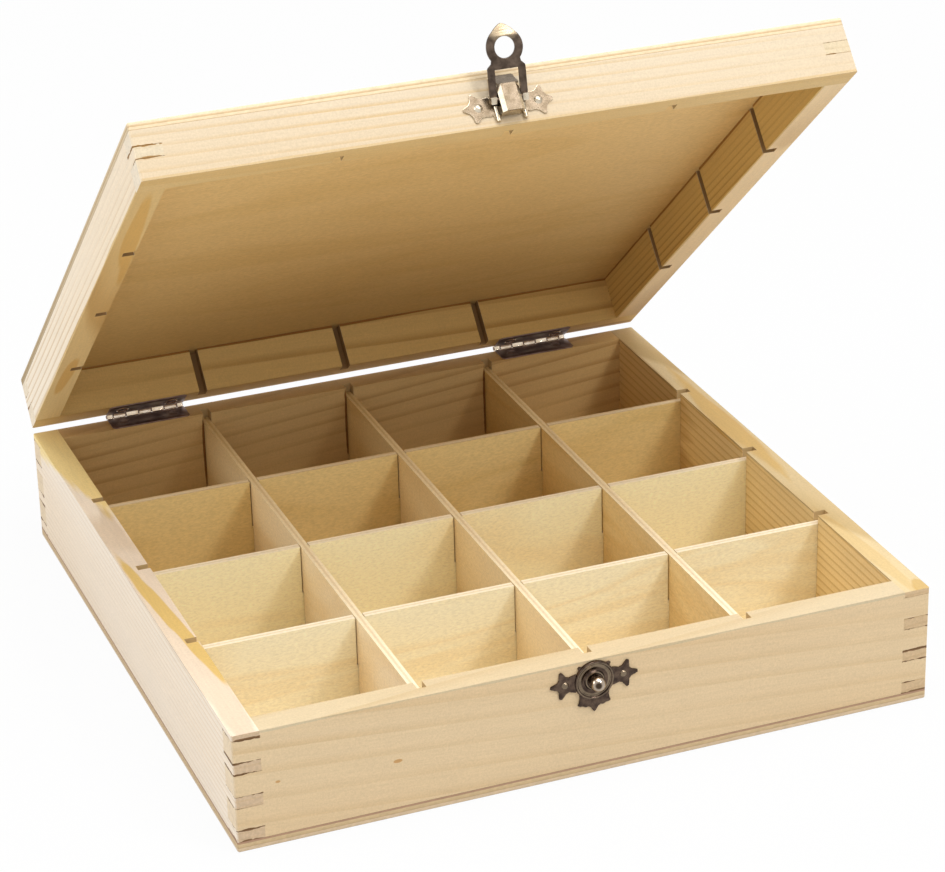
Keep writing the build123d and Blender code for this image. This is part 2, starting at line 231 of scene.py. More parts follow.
def open_joints(tree, place, zero_mm):
    """1 along the edges of the corner fingers, broken up as in a joint cut by machine."""
    split = add(tree, "SeparateXYZ", {0: place})
    up = split.outputs[2]
    below, above = [near_lines(tree, up, FINGER_PITCH, zero_mm + edge) for edge in (0, FINGER)]
    distance = add(tree, "Math", {0: below, 1: above}, operation="MINIMUM")
    long = add(tree, "Mapping", {"Vector": place, "Scale": (1, 1, 3)})
    broken = add(tree, "TexNoise", {"Vector": long, "Scale": 95, "Detail": 3, "Roughness": 0.65})
    width = add(tree, "MapRange", {0: broken, 1: 0.45, 2: 0.62, 3: 0, 4: OPEN_LINE * MM})
    line = add(tree, "Math", {0: distance, 1: width}, operation="LESS_THAN")
    for axis in (0, 1):
        out = add(tree, "Math", {0: split.outputs[axis]}, operation="ABSOLUTE")
        inside = half_box - wall
        corner = add(tree, "MapRange", {0: out, 1: inside - 0.3 * MM, 2: inside})
        line = add(tree, "Math", {0: line, 1: corner}, operation="MULTIPLY")
    return line


def groove_share(tree, place, grain):
    """1 inside the saw cuts that hold the dividers' ends."""
    split = add(tree, "SeparateXYZ", {0: place})
    along, across = (0, 1) if grain == "X" else (1, 0)
    out = add(tree, "Math", {0: split.outputs[across]}, operation="ABSOLUTE")
    share = add(tree, "Math", {0: out, 1: half_box - wall + 0.2 * MM}, operation="GREATER_THAN")
    away = near_lines(tree, split.outputs[along], DIVIDER_PITCH)
    inside = add(tree, "Math", {0: away, 1: GROOVE_HALF * MM}, operation="LESS_THAN")
    share = add(tree, "Math", {0: share, 1: inside}, operation="MULTIPLY")
    size = add(tree, "Math", {0: split.outputs[along]}, operation="ABSOLUTE")
    middle = add(tree, "Math", {0: size, 1: 1.5 * DIVIDER_PITCH * MM}, operation="LESS_THAN")
    bottom = half_box - wall + GROOVE_DEPTH * MM
    deep = add(tree, "Math", {0: out, 1: bottom}, operation="LESS_THAN")
    share = add(tree, "Math", {0: share, 1: middle}, operation="MULTIPLY")
    return add(tree, "Math", {0: share, 1: deep}, operation="MULTIPLY")


# %% [markdown]
# ## The finish of a whole board
# The layers of a board come in the order in which they came about: the log's rings, a slow
# change of tone, the fibre and the sanding, long tinted patches, the end grain, and at last the
# saw cuts and the open joints. A patch is heartwood, a knot, a stain, a rim's own tone or a
# line of painted shade.

# %% Pine
WOOD_SHINE = 0.3
OPEN_JOINT = {True: "#9A7440", False: "#7C5C3C"}


def streak(tree, place, slow, middle, sizes, turn_deg):
    """How much of a long ragged patch covers a point, its middle and half sizes in mm."""
    inputs = {"Vector": place, "Location": [v * MM for v in middle],
              "Scale": [v * MM for v in sizes], "Rotation": (0, 0, math.radians(turn_deg))}
    inner = add(tree, "Mapping", inputs, vector_type="TEXTURE")
    away = add(tree, "VectorMath", {0: inner}, operation="LENGTH")
    ragged = add(tree, "TexNoise", {"Vector": slow, "Scale": 170, "Detail": 3})
    away = add(tree, "Math", {0: away, 1: ragged}, operation="ADD")
    return add(tree, "MapRange", {0: away, 1: 1.26, 2: 1.46, 3: 1, 4: 0})


def pine(name, grain, pith_mm, lean_deg, ring_mm, early, late, contrast, end, on_lid, zero_mm,
         groove_colour_and_shade, streaks):
    """Sanded bare pine of one board; a streak is (middle, half sizes, turn, tint), in mm."""
    material, tree, shader = new_material(name)
    place, facing = board_coordinates(tree, on_lid)
    log = log_place(tree, place, grain, pith_mm, lean_deg)
    year, slow = rings_of(tree, log, ring_mm)
    line = [(0.0, early), (0.6, early), (0.87, late), (0.95, late), (1.0, early)]
    year_tone = add(tree, "ValToRGB", {"Fac": year}, line)
    uneven = add(tree, "TexNoise", {"Vector": slow, "Scale": 30, "Detail": 2})
    strong = {0: uneven, 1: 0.38, 2: 0.62, 3: 0.15 * contrast, 4: contrast}
    amount = add(tree, "MapRange", strong)
    wood = add(tree, "Mix", {"Factor": amount, "A": linear(early), "B": year_tone}, **MIXED)
    broad = add(tree, "TexNoise", {"Vector": slow, "Scale": 9, "Detail": 2})
    shade = add(tree, "ValToRGB", {"Fac": broad}, [(0.38, "#FFFFFF"), (0.66, "#F7ECDA")])
    wood = add(tree, "Mix", {"Factor": 1.0, "A": wood, "B": shade}, **TINTED)
    thin = add(tree, "Mapping", {"Vector": log, "Scale": (1, 1, 0.04)})
    fibre = add(tree, "TexNoise", {"Vector": thin, "Scale": 1300, "Detail": 3, "Roughness": 0.65})
    silk = add(tree, "MapRange", {0: fibre, 1: 0.28, 2: 0.72, 3: 0.95, 4: 1.04})
    wood = add(tree, "Mix", {"Factor": 1.0, "A": wood, "B": silk}, **TINTED)
    # Sanding leaves specks of about half a millimetre, drawn a little coarser so that they show.
    specks = add(tree, "TexNoise", {"Vector": log, "Scale": 1500, "Detail": 2, "Roughness": 0.7})
    dusty = add(tree, "MapRange", {0: specks, 1: 0.3, 2: 0.7, 3: 0.93, 4: 1.06})
    wood = add(tree, "Mix", {"Factor": 1.0, "A": wood, "B": dusty}, **TINTED)
    for middle, sizes, turn_deg, tint in streaks:
        share = streak(tree, place, slow, middle, sizes, turn_deg)
        stained = add(tree, "Mix", {"Factor": 1.0, "A": wood, "B": linear(tint)}, **TINTED)
        wood = add(tree, "Mix", {"Factor": share, "A": wood, "B": stained}, **MIXED)
    pores = add(tree, "TexNoise", {"Vector": log, "Scale": 900, "Detail": 3, "Roughness": 0.7})
    open_pores = add(tree, "MapRange", {0: pores, 1: 0.3, 2: 0.7, 3: 0.86, 4: 1.08})
    end_wood = add(tree, "Mix", {"Factor": 0.12, "A": linear(end), "B": year_tone}, **MIXED)
    end_wood = add(tree, "Mix", {"Factor": 1.0, "A": end_wood, "B": open_pores}, **TINTED)
    share = facing_share(tree, facing, grain)
    wood = add(tree, "Mix", {"Factor": share, "A": wood, "B": end_wood}, **MIXED)
    # The grooves take their own colour, darker in the lid's side and back walls as painted shade.
    grooves = groove_share(tree, place, grain)
    wood = add(tree, "Mix", {"Factor": grooves, "A": wood, "B": linear(groove_colour_and_shade)}, **MIXED)
    # A painted line of shadow and old glue along the finger edges.
    glue_and_shadow_line = open_joints(tree, place, zero_mm)
    wood = add(tree, "Mix", {"Factor": glue_and_shadow_line, "A": wood, "B": linear(OPEN_JOINT[on_lid])}, **MIXED)
    tree.links.new(wood.outputs[2], shader.inputs["Base Color"])
    rough = add(tree, "MapRange", {0: fibre, 3: 0.5, 4: 0.75})
    tree.links.new(rough.outputs[0], shader.inputs["Roughness"])
    relief = add(tree, "Bump", {"Height": fibre, "Distance": 0.05 * MM, "Strength": 0.3})
    tree.links.new(relief.outputs[0], shader.inputs["Normal"])
    shader.inputs["Specular IOR Level"].default_value = WOOD_SHINE
    return material


# %% [markdown]
# ## Plywood
# Plywood is a stack of peeled veneers glued with their grain crossed. Peeled veneer has no ring
# lines, only soft flames and small flecks, and a cut edge shows each ply and the thin brown glue
# lines between them. The finish measures how far up its thickness a point lies to draw these.
# A sheet may take painted shade towards the back of the box, and warm painted shade on its lower
# face.


# %% Plywood
def plywood(name, grain, across, middle_mm, thickness_mm, face, flame, plies, on_lid=False,
            back_shade="#FFFFFF", under="#FFFFFF"):
    """Bare plywood with its grain and its stack of plies along two axes.

    It takes painted shade towards the back of the box and warm painted shade on its lower face.
    """
    material, tree, shader = new_material(name)
    place, facing = board_coordinates(tree, on_lid)
    split = add(tree, "SeparateXYZ", {0: place})
    height = split.outputs["XYZ".index(across)]
    low, high = (middle_mm - thickness_mm / 2) * MM, (middle_mm + thickness_mm / 2) * MM
    level = add(tree, "MapRange", {0: height, 1: low, 2: high})
    # The shift gives each sheet its own flames.
    shifted = {"Vector": place, "Scale": [0.2 if grain == v else 1 for v in "XYZ"],
               "Location": [middle_mm * v for v in (0.37, 0.71, 0.13)]}
    long = add(tree, "Mapping", shifted)
    flames = add(tree, "TexNoise", {"Vector": long, "Scale": 26, "Detail": 3, "Distortion": 1.2})
    soft = [(0.3, face), (0.46, face), (0.57, flame), (0.64, face), (0.8, flame)]
    veneer = add(tree, "ValToRGB", {"Fac": flames}, soft)
    drawn_out = {"Vector": place, "Scale": [0.4 if grain == v else 1 for v in "XYZ"]}
    short = add(tree, "Mapping", drawn_out)
    flecks = add(tree, "TexNoise", {"Vector": short, "Scale": 1400, "Detail": 3, "Roughness": 0.7})
    light = add(tree, "MapRange", {0: flecks, 1: 0.3, 2: 0.7, 3: 0.87, 4: 1.09})
    flat = add(tree, "Mix", {"Factor": 1.0, "A": veneer, "B": light}, **TINTED)
    # Warm painted shade on the lower face of the sheet.
    tint = add(tree, "ValToRGB", {"Fac": level}, [(0.4, under), (0.6, "#FFFFFF")])
    flat = add(tree, "Mix", {"Factor": 1.0, "A": flat, "B": tint}, **TINTED)
    stack = add(tree, "ValToRGB", {"Fac": level}, plies)
    edge = add(tree, "Mix", {"Factor": 1.0, "A": stack, "B": light}, **TINTED)
    share = facing_share(tree, facing, across)
    wood = add(tree, "Mix", {"Factor": share, "A": edge, "B": flat}, **MIXED)
    # Painted shade, growing towards the back of the box.
    back = add(tree, "MapRange", {0: split.outputs[1], 1: -half_box, 2: half_box})
    wood = add(tree, "Mix", {"Factor": back, "A": wood, "B": linear(back_shade)}, **TINTED)
    tree.links.new(wood.outputs[2], shader.inputs["Base Color"])
    shader.inputs["Roughness"].default_value = 0.62
    shader.inputs["Specular IOR Level"].default_value = WOOD_SHINE
    relief = add(tree, "Bump", {"Height": flecks, "Distance": 0.04 * MM, "Strength": 0.3})
    tree.links.new(relief.outputs[0], shader.inputs["Normal"])
    return material


# %% [markdown]
# ## Dressing the boards
# Each board of a real box comes from another place in the log, so each gets its own pith and
# lean. A pith far above or below gives a side wall fine lines along its face and broad figure
# on its rim. Wedges of yellow heartwood run along the rims of the side walls and the front board
# has two pin knots. Painted shade darkens the slits beside the dividers on the back wall and the
# lid's inner corners along its panel.


# %% A finish for each board
def dress(node, material):
    """A CAD piece keeps its shape and gets a finish."""
    mesh = frame["nodes"][node].data
    mesh.materials.clear()
    mesh.materials.append(material)


rim_mm = rim_level / MM
golden = "#F2E09C"
brown_gold = "#FFF2B8"
knot = "#E3C8A4"
joint_shadow = "#BA9C76"
LID_WALL = 18.3
left_streaks = [
    ((-127.5, -45, rim_mm), (9, 125, 1.3), 0, "#E9E3DC"),
    ((-127, -43, rim_mm), (3.0, 62, 9), 4.6, golden),
    ((-126, 100, rim_mm), (7.5, 62, 12), 4, brown_gold),
]
right_streaks = [
    ((127.5, 0, rim_mm), (9, 500, 1.3), 0, "#E0E1EA"),
    ((131, -131, rim_mm), (4, 7, 5), 0, "#F0E2C0"),
    ((125.5, -95, rim_mm), (3.4, 42, 5), 2, "#FCF5E4"),
    ((127, 30, rim_mm), (5, 60, 5), -1, "#F8E9C4"),
    ((122.5, 97, 22), (0.9, 50, 60), 0, "#E9E0D4"),
]
front_streaks = [
    ((0, -127.5, rim_mm), (500, 9, 1.3), 0, "#EFF7FF"),
    ((-73.6, -132.5, 22.3), (1.8, 1, 0.8), 0, knot),
    ((-117, -132.5, 24.6), (1.1, 1, 0.6), 0, knot),
]
# Painted shade: thin dark lines in the slits beside the divider ends on the back wall.
back_slit_shade_streaks = [
    ((DIVIDER_PITCH * i - 2, 122.5, 30), (0.7, 2, 18), 0, "#A08562") for i in (-1, 0, 1)
]
lid_left_streaks = [
    ((-127.5, 0, 0), (9, 500, 1.3), 0, "#E9D7A8"),
    ((-126, -78, 0), (3.5, 45, 6), -3, "#F8EACA"),
    ((-128, 70, 0), (3, 25, 6), 3, "#F2E0BE"),
]
lid_front_streaks = [
    ((0, -127.5, 0), (500, 9, 1.3), 0, "#FAF1DA"),
    ((0, -132.5, 9), (500, 0.3, 60), 0, "#E7EBFF"),
]
lid_right_streaks = [
    ((122.5, 0, 10), (1, 500, 60), 0, "#DFD2A2"),
    ((122.5, 0, LID_WALL), (1.5, 500, 1.1), 0, joint_shadow),
]
lid_back_streaks = [((0, 122.5, LID_WALL), (500, 1.5, 1.1), 0, joint_shadow)]
# Node, grain, place and lean of the pith, ring, earlywood, latewood, contrast, end, patches.
boards = [
    ("base_front_wall", "X", (-40, -170, 110), (0, 4, 1), 8.0,
     "#DDC49D", "#C9A877", 0.42, "#EAD6B8", front_streaks),
    ("base_back_wall", "X", (30, 165, 120), (0, -4, 2), 6.0,
     "#D5B883", "#A87F48", 0.5, "#EAD6B8", back_slit_shade_streaks),
    ("base_left_wall", "Y", (-128, 0, -230), (0.5, 0, 0.4), 2.6,
     "#F4E7D6", "#E2CCAE", 0.7, "#CAAD89", left_streaks),
    ("base_right_wall", "Y", (140, 0, -190), (1.0, 0, 0.5), 3.3,
     "#F1D9A3", "#C39F58", 0.55, "#CAAD89", right_streaks),
    ("lid_front_wall", "X", (0, -165, 150), (0, 0.8, 0.4), 4.0,
     "#E8D4AB", "#DBB56F", 0.75, "#F0E2CC", lid_front_streaks),
    ("lid_back_wall", "X", (40, 190, 90), (0, 3, 2), 9.0,
     "#DBBC7C", "#AF8646", 0.7, "#F0E2CC", lid_back_streaks),
    ("lid_left_wall", "Y", (-128, 0, 210), (0.5, 0, 0.3), 3.3,
     "#F9EFE0", "#DCC4A0", 0.85, "#C8B798", lid_left_streaks),
    ("lid_right_wall", "Y", (128, 0, 160), (0.6, 0, 0.4), 2.6,
     "#F6DFB6", "#C6A26C", 0.8, "#C8B798", lid_right_streaks),
]
SAW_KERF = 3
for node, grain, pith, lean, ring, early, late, contrast, end, streaks in boards:
    on_lid = node.startswith("lid")
    # The fingers are counted up from the base panel, and on through the saw cut into the lid.
    zero = -(rim_mm - panel_top / MM + SAW_KERF) if on_lid else panel_top / MM
    # The lid's side and back walls get darker grooves, as painted shade in the recesses.
    groove_colour_and_shade = "#9E7E54" if on_lid and node != "lid_front_wall" else "#C4A878"
    finish = pine("pine_" + node, grain, pith, lean, ring, early, late, contrast, end, on_lid,
                  zero, groove_colour_and_shade, streaks)
    dress(node, finish)
print("pine boards:", len(boards))

# %% [markdown]
# ## Dressing the plywood
# The panels are poplar and the dividers birch. A strip of plywood on edge shows its three plies
# along the top. The strips of one box are offcuts of several sheets, so each row has its tone,
# and the rear cross row is written darker as painted shade under the lid.

# %% Plywood panels and dividers
base_plies = [
    (0.0, "#8E6C4C"), (0.09, "#D7BE9C"), (0.36, "#D9C1A0"), (0.42, "#BFA37E"), (0.5, "#CBB086"),
    (0.76, "#D3BA90"), (0.82, "#B08C70"), (0.96, "#B08C70"), (1.0, "#7E6248"),
]
lid_plies = [
    (0.0, "#A5835A"), (0.1, "#D8C29E"), (0.36, "#DCC7A2"), (0.42, "#BE9F76"), (0.62, "#D3BA94"),
    (0.68, "#E0CCAA"), (1.0, "#E0CCAA"),
]
PLY = 3
core = "#E2CFAC"
panel_mm = panel_top / MM
base_finish = plywood("poplar_plywood_base", "X", "Z", panel_mm / 2, panel_mm,
                      "#E9D2A8", "#E2C99E", base_plies)
dress("base_panel", base_finish)
LID_PANEL = 3
LID_PANEL_MIDDLE = LID_WALL + LID_PANEL / 2
# The lid panel takes painted shade towards the hinge and warm painted shade on its inner face.
lid_finish = plywood("poplar_plywood_lid", "X", "Z", LID_PANEL_MIDDLE, LID_PANEL,
                     "#F2DCB4", "#ECD4A8", lid_plies, True, "#CFCABC", "#FFF0CC")
dress("lid_panel", lid_finish)
# Face, flame and outer ply of each row of dividers, from the front or the left; the rear cross row
# is darker as painted shade.
row_tones_and_shade = {
    "cross": [
        ("#FDF5D2", "#F8EAC0", "#F2E4C8"), ("#FFF3C6", "#FBE9B8", "#EEDDBE"),
        ("#ECD090", "#E4C684", "#D9BE92"),
    ],
    "long": [
        ("#F5E6C8", "#F0DCB6", "#F2E4C8"), ("#EFDBB2", "#E8D0A2", "#F2E4C8"),
        ("#EAD29E", "#E4C890", "#F2E4C8"),
    ],
}
# Painted shade towards the back of the box, on the long strips.
back_shade_tones = {"cross": "#FFFFFF", "long": "#EAD9B4"}
for number in (1, 2, 3):
    middle = DIVIDER_PITCH * (number - 2)
    for run, grain, across in (("long", "Y", "X"), ("cross", "X", "Y")):
        face, flame, ply = row_tones_and_shade[run][number - 1]
        strip = [(0.0, ply), (0.3, ply), (0.42, core), (0.6, core), (0.7, ply), (1.0, ply)]
        finish = plywood(f"birch_plywood_{run}_{number}", grain, across, middle, PLY, face, flame,
                         strip, back_shade=back_shade_tones[run])
        dress(f"{run}_divider_{number}", finish)
print("plywood panels: 2, dividers:", 3 * len(row_tones_and_shade))

# %% [markdown]
# ## Metal finishes
# The fittings are pressed from thin sheet steel. The hinges, the hasp and the catch are bronzed,
# a thin brown film that rubs away to brighter steel. The latch plate and its nails are nickel
# plated, a warm pale grey, brighter on edges and bends. The knob is polished where the hasp rubs
# it. The hasp's tip is written lighter, partly as wear and partly as a painted highlight, and the
# knob carries a small painted dark reflection. All are metals, so their colour is the colour of
# their reflections, and their roughness is what tells them apart. They mirror the white room, so
# their colours are written dark.


# %% Metals
def metal(name, dark, light, low_rough, high_rough, scale, wear_and_painted_light=()):
    """Plated or bronzed sheet steel; spots of wear and of painted light are (point, reach in mm,
    colour).
    """
    material, tree, shader = new_material(name)
    place = add(tree, "TexCoord").outputs["Object"]
    film = add(tree, "TexNoise", {"Vector": place, "Scale": scale, "Detail": 3, "Roughness": 0.5})
    tone = add(tree, "ValToRGB", {"Fac": film}, [(0.35, dark), (0.65, light)])
    for point, reach, colour in wear_and_painted_light:
        away = add(tree, "VectorMath", {0: place, 1: point}, operation="DISTANCE")
        share = add(tree, "MapRange", {0: away, 1: 0.6 * reach * MM, 2: reach * MM, 3: 1, 4: 0})
        tone = add(tree, "Mix", {"Factor": share, "A": tone, "B": linear(colour)}, **MIXED)
    colour_output = next(output for output in tone.outputs if output.enabled)
    tree.links.new(colour_output, shader.inputs["Base Color"])
    fine = add(tree, "TexNoise", {"Vector": place, "Scale": 2500, "Detail": 2})
    rough = add(tree, "MapRange", {0: fine, 1: 0.3, 2: 0.7, 3: low_rough, 4: high_rough})
    tree.links.new(rough.outputs[0], shader.inputs["Roughness"])
    relief = add(tree, "Bump", {"Height": film, "Distance": 0.02 * MM, "Strength": 0.2})
    tree.links.new(relief.outputs[0], shader.inputs["Normal"])
    shader.inputs["Metallic"].default_value = 1
    return material


# The hasp's tip is written lighter, partly worn and partly a painted highlight of the light from
# above.
hasp_tip_wear_and_highlight = hasp_frame @ Vector((0, 25.6 * MM, -1.5 * MM))
knob_dark_reflection_spot = catch_frame @ Vector((-0.8 * MM, 0.6 * MM, 6.4 * MM))
hinge_bronze = metal("bronzed_sheet_steel_hinge", "#85706A", "#9C8880", 0.4, 0.5, 300)
worn_steel = metal("worn_bright_steel_hinge", "#D8C4A8", "#F4E6D2", 0.12, 0.2, 300)
dark_bronze = metal("bronzed_sheet_steel_catch", "#40342E", "#665548", 0.18, 0.3, 400)
worn_bronze = metal("rubbed_bronzed_steel_catch", "#6C5E4E", "#867662", 0.18, 0.28, 400)
hasp_bronze = metal("bronzed_sheet_steel_hasp", "#4A3F36", "#6B5C50", 0.3, 0.38, 400,
                    [(hasp_tip_wear_and_highlight, 7, "#9C8B72")])
nickel = metal("nickel_plated_sheet_steel", "#6E604E", "#847563", 0.24, 0.36, 400)
bright_nickel = metal("nickel_plated_steel_rubbed_and_painted_light", "#C4B69F", "#DCD0BA", 0.2, 0.3, 400)
# The ball has one small dark spot on its front, a painted dark reflection.
polished = metal("polished_steel_knob", "#A29383", "#BDAE9D", 0.06, 0.12, 300,
                 [(knob_dark_reflection_spot, 1.5, "#43372B")])
print("metal finishes: 8")


# %% [markdown]
# ## Stamping a blank
# A fitting starts as a flat blank that a press punches out of sheet, holes and all, and its
# edges come out slightly rounded. A flat curve does just that: it fills an outline with its
# holes, gives it a thickness and rounds the edges. The blank is drawn in millimetres, because
# the fill is less exact on very small numbers, and made a mesh to be bent and joined.

# %% Helpers for outlines and pieces
def arc(x, y, radius, start, end, count):
    """Points on an arc, from one angle to another in degrees."""
    turns = [math.radians(start + (end - start) * i / (count - 1)) for i in range(count)]
    return [(x + radius * math.cos(t), y + radius * math.sin(t)) for t in turns]


def mirrored(points):
    """An outline's right side and, going back, its mirror image on the left."""
    return points + [(-x, y) for x, y in reversed(points) if abs(x) > 1e-6]


def blank(outline, holes=(), thickness=1.0, ease=0.1):
    """A flat piece of sheet in millimetres, its middle plane on the drawing plane."""
    curve = bpy.data.curves.new("blank", "CURVE")
    curve.dimensions = "2D"
    curve.fill_mode = "BOTH"
    curve.extrude = thickness / 2 - ease
    curve.bevel_depth = ease
    curve.bevel_resolution = 1
    curve.offset = -ease
    for loop in (outline, *holes):
        spline = curve.splines.new("POLY")
        spline.points.add(len(loop) - 1)
        for point, place in zip(spline.points, loop):
            point.co = (*place, 0, 1)
        spline.use_cyclic_u = True
    holder = bpy.data.objects.new("blank", curve)
    shape = bmesh.new()
    shape.from_mesh(bpy.data.meshes.new_from_object(holder))
    bpy.data.objects.remove(holder)
    bmesh.ops.remove_doubles(shape, verts=shape.verts, dist=0.002)
    bmesh.ops.dissolve_degenerate(shape, edges=shape.edges, dist=0.001)
    return shape


def turned(profile, steps=48):
    """A piece turned about Z from a profile of (radius, height) in millimetres."""
    shape = bmesh.new()
    points = [shape.verts.new((radius, 0, height)) for radius, height in profile]
    lines = [shape.edges.new(pair) for pair in zip(points, points[1:])]
    bmesh.ops.spin(shape, geom=points + lines, cent=(0, 0, 0), axis=(0, 0, 1),
                   angle=2 * math.pi, steps=steps, use_merge=True)
    bmesh.ops.remove_doubles(shape, verts=shape.verts, dist=0.002)
    bmesh.ops.recalc_face_normals(shape, faces=shape.faces)
    return shape


def piece(name, parts, body, nodes, materials, soft_angle=30):
    """One object from parts of (shape, frame, number of its finish, or None to keep its own)."""
    whole = bmesh.new()
    for shape, place, finish in parts:
        copy = bpy.data.meshes.new("part")
        shape.to_mesh(copy)
        if finish is not None:
            copy.polygons.foreach_set("material_index", [finish] * len(copy.polygons))
        copy.transform(place @ Matrix.Scale(MM, 4))
        whole.from_mesh(copy)
        bpy.data.meshes.remove(copy)
    bmesh.ops.recalc_face_normals(whole, faces=whole.faces)
    mesh = bpy.data.meshes.new(name)
    whole.to_mesh(mesh)
    open_edges = sum(1 for edge in whole.edges if not edge.is_manifold)
    whole.free()
    mesh.polygons.foreach_set("use_smooth", [True] * len(mesh.polygons))
    mesh.set_sharp_from_angle(angle=math.radians(soft_angle))
    for material in materials:
        mesh.materials.append(material)
    made = bpy.data.objects.new(name, mesh)
    bpy.context.scene.collection.objects.link(made)
    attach(made, body)
    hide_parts(*nodes)
    print(name, "faces:", len(mesh.polygons), "open edges:", open_edges)
    return made


here = Matrix.Identity(4)


# %% [markdown]
# ## Stars and nails
# Latch and catch both end in small stars with blunt points and hollow sides, each held by a
# domed nail. The stars are drawn point by point round the nail, and the nail is turned.

# %% Star outline and domed nail
SHEET = 0.6
STAR_X = 11.1
STAR_REACH = 5.5
NAIL_SHANK = 0.65
NAIL_POINT = 1.2


def star_side(middle_y, notch):
    """Outline of the right-hand star from its lower inner point round to its upper one."""
    points = []
    for step in range(-4, 5):
        angle = 36 * step
        if step % 2:
            points += arc(STAR_X, middle_y, notch, angle - 10, angle + 10, 3)
        else:
            hollow = arc(STAR_X, middle_y, (notch + STAR_REACH) / 2, angle - 13, angle + 13, 2)
            tip = arc(STAR_X, middle_y, STAR_REACH, angle - 5, angle + 5, 3)
            points += [hollow[0], *tip, hollow[1]]
    return points


def domed_nail(head, rise, length):
    """A nail whose domed head rests on the drawing plane."""
    cap = (head ** 2 + rise ** 2) / (2 * rise)
    edge = math.degrees(math.asin(head / cap))
    dome = arc(0, rise - cap, cap, 90, 90 - edge, 9)
    shank = [(NAIL_SHANK, -0.04), (NAIL_SHANK, NAIL_POINT - length), (0, -length)]
    return turned([*dome, (head * 0.94, -0.04), *shank], 32)


def nail_group(name, head, rise, length, places, body, node, material):
    """The same nail at several frames, as one object."""
    shape = domed_nail(head, rise, length)
    piece(name, [(shape, place, 0) for place in places], body, [node], [material])


def at(x, y, z=0):
    """A shift in millimetres."""
    return Matrix.Translation((x * MM, y * MM, z * MM))


# %% [markdown]
# ## The catch
# The catch is pressed in one stroke: a shield with two stars, and in its middle a stepped dome
# with a round collar for the knob. The flat part is a blank and the dome is turned, with the
# fine rings that catch the light. The crests of the rings are rubbed bright, so their faces get
# the second finish.

# %% Catch plate, knob and nails
shield = [
    (0, -12.6), (0.55, -12.2), (1.3, -10.9), (2.2, -10.2), (3.3, -10.35), (4.4, -9.8),
    (5.6, -9.7), (6.25, -9.2), (5.8, -8.2), (5.5, -6.6), (5.7, -5), (6.1, -4),
]
crown = [(6.1, 4), (5.9, 4.9), (6.3, 5.7), (5.7, 6.2), (4.4, 5.9), (2, 6.4), (0, 6.5)]
catch_blank = blank(mirrored(shield + star_side(0, 3.3) + crown), thickness=SHEET, ease=0.12)
rings = [
    (0, 0.1), (7.5, 0.1), (7.5, 0.75), (7.35, 1.1), (7.05, 1.3), (6.7, 1.3), (6.45, 1.1),
    (6.3, 0.85), (6.0, 0.8), (5.7, 0.98), (5.4, 1.0), (5.1, 0.86), (4.7, 0.66), (4.2, 0.6),
    (3.9, 0.66), (3.7, 0.95), (3.45, 1.25), (3.1, 1.3), (2.85, 1.1), (2.6, 0.85), (0, 0.8),
]
dome = turned(rings, 72)
CREST = 1.22
RUBBED_RING = (5.1, 6.3)
for face in dome.faces:
    middle = face.calc_center_median()
    on_ring = RUBBED_RING[0] < middle.xy.length < RUBBED_RING[1]
    face.material_index = int(middle.z > CREST or on_ring)
catch_parts = [(catch_blank, catch_frame @ at(0, 0, SHEET / 2), 0), (dome, catch_frame, None)]
piece("catch_plate_pressed", catch_parts, "base", ["catch_plate"],
      [dark_bronze, worn_bronze])

BALL = 2.8
BALL_OUT = 3.8
STEM = 1.3
ball = arc(0, BALL_OUT, BALL, -62, 90, 20)
knob = [(0, -0.4), (STEM, -0.4), (STEM, 1.2), *ball[:-1], (0, BALL_OUT + BALL)]
piece("catch_knob_turned", [(turned(knob, 56), catch_frame, 0)], "base", ["catch_knob"],
      [polished])
CATCH_HEAD = 1.35
DOME_RISE = 0.8
SHORT_NAIL = 8
catch_nail_places = [catch_frame @ at(side * STAR_X, 0, SHEET) for side in (-1, 1)]
nail_group("catch_nails_domed", CATCH_HEAD, DOME_RISE, SHORT_NAIL, catch_nail_places, "base",
           "catch_nails", worn_bronze)

# %% [markdown]
# ## The latch plate
# The latch plate is bent up from one blank: two star wings, two rolled lips beside an opening,
# and a raised tongue like a small hood, under which the bar of the hasp turns. The hood is a
# shallow channel with sloping sides that leans back to the plate at its top and is closed at
# its lower end. Its bends and the cut edges of the sheet are rubbed bright, and the hood's lower
# end, which lies in shade, takes the same bright finish as painted light.

# %% Latch plate and nails
WING = 7.4
HOOD_LONG = 10.2
HOOD_MIDDLE = 8.3
HOOD_FOOT = 3.55
LIP_X = 5
LIP_Y = 4.25
LIP_LIFT = 0.35
CUT_EDGE = 0.95
SLOPING = 0.4
wing = [(4.3, 1.5), (5.3, 1.6), (5.75, 2.5), (6.1, 3.2)]
top = [(6.1, 11.3), (4.9, 11.4), (4.9, 17.8), (4.5, 18.3)]
right_side = wing + star_side(WING, 3.75) + top
outline = right_side + [(-x, y) for x, y in reversed(right_side)] + [(-4.3, 7.0), (4.3, 7.0)]
latch_blank = blank(outline, thickness=SHEET, ease=0.15)
for face in latch_blank.faces:
    face.normal_update()
    face.material_index = int(abs(face.normal.z) < CUT_EDGE)
across_plate = Matrix(((1, 0, 0, 0), (0, 0, -1, 0), (0, 1, 0, 0), (0, 0, 0, 1)))
along_x = Matrix(((0, 0, 1, 0), (1, 0, 0, 0), (0, 1, 0, 0), (0, 0, 0, 1)))
lip = blank(arc(0, 0, 0.75, -20, 200, 10) + [(-0.7, -0.5), (0.7, -0.5)], thickness=5.5, ease=0.1)
hood_top = [(-4.1, 4.1), (-4.1, 4.3), (-2.75, 5.5), (2.75, 5.5), (4.1, 4.3), (4.1, 4.1)]
hood_under = [(3.6, 4.1), (2.5, 5.05), (-2.5, 5.05), (-3.6, 4.1)]
